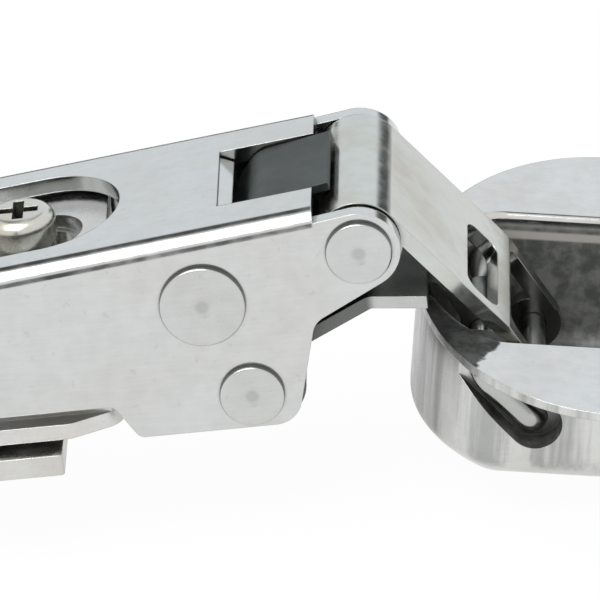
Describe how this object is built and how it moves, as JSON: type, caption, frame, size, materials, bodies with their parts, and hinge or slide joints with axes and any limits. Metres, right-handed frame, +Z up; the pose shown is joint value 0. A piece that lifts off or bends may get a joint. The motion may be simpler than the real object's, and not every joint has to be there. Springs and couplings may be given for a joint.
{
  "type": "concealed spring hinge",
  "caption": "Concealed spring hinge for a cabinet door: a stamped arm on a mounting plate carries linked plates that fold a round cup under it.",
  "frame": {"origin": "midway between the mounting plate's two screw holes, on the cabinet side's surface", "axes": "+X along the arm towards the cup, +Y across the hinge, +Z up off the cabinet side"},
  "size_m": [0.1158, 0.057, 0.0316],
  "materials": {
    "arm_steel": "bright nickel plate",
    "cup_steel": "bright nickel plate",
    "link_steel": "nickel plate, lightly worn",
    "pin_steel": "riveted, satin",
    "spring_steel": "dark oiled spring strip",
    "plate_steel": "nickel plate",
    "screw_steel": "plated, satin"
  },
  "bodies": {
    "plate": {"mounting_plate": "plate_steel", "fixing_screw": "screw_steel"},
    "arm": {"slide_plate": "plate_steel", "hinge_arm": "arm_steel", "rear_pin": "pin_steel", "nose_pin": "pin_steel", "middle_pin": "pin_steel", "lower_pin": "pin_steel", "leaf_spring": "spring_steel"},
    "side_screw": {"side_screw": "screw_steel"},
    "outer_link": {"outer_link": "link_steel"},
    "cup": {"hinge_cup": "cup_steel", "cup_pin": "pin_steel"},
    "inner_link": {"inner_link": "link_steel"}
  },
  "joints": [
    {"name": "depth_adjust", "type": "slide", "parent": "plate", "child": "arm", "axis": [1, 0, 0], "range_m": [-0.002, 0.002]},
    {"name": "side_screw_turn", "type": "hinge", "parent": "arm", "child": "side_screw", "pos_m": [0.0065, 0, 0.01808], "axis": [-0.1097, 0, 0.994], "continuous": true},
    {"name": "outer_swing", "type": "hinge", "parent": "arm", "child": "outer_link", "pos_m": [0.05494, 0, 0.0188], "axis": [0, -1, 0], "range_deg": [0, 10]},
    {"name": "cup_fold", "type": "hinge", "parent": "outer_link", "child": "cup", "pos_m": [0.06884, 0, 0.00064], "axis": [0, -1, 0], "range_deg": [0, 90]},
    {"name": "inner_turn", "type": "hinge", "parent": "cup", "child": "inner_link", "pos_m": [0.06471, 0, 0.00604], "axis": [0, -1, 0], "range_deg": [-121, 0]}
  ],
  "couplings": [
    {"joint": "outer_swing", "follows": "cup_fold", "ratio": 0.11111},
    {"joint": "inner_turn", "follows": "cup_fold", "ratio": -1.3444}
  ]
}
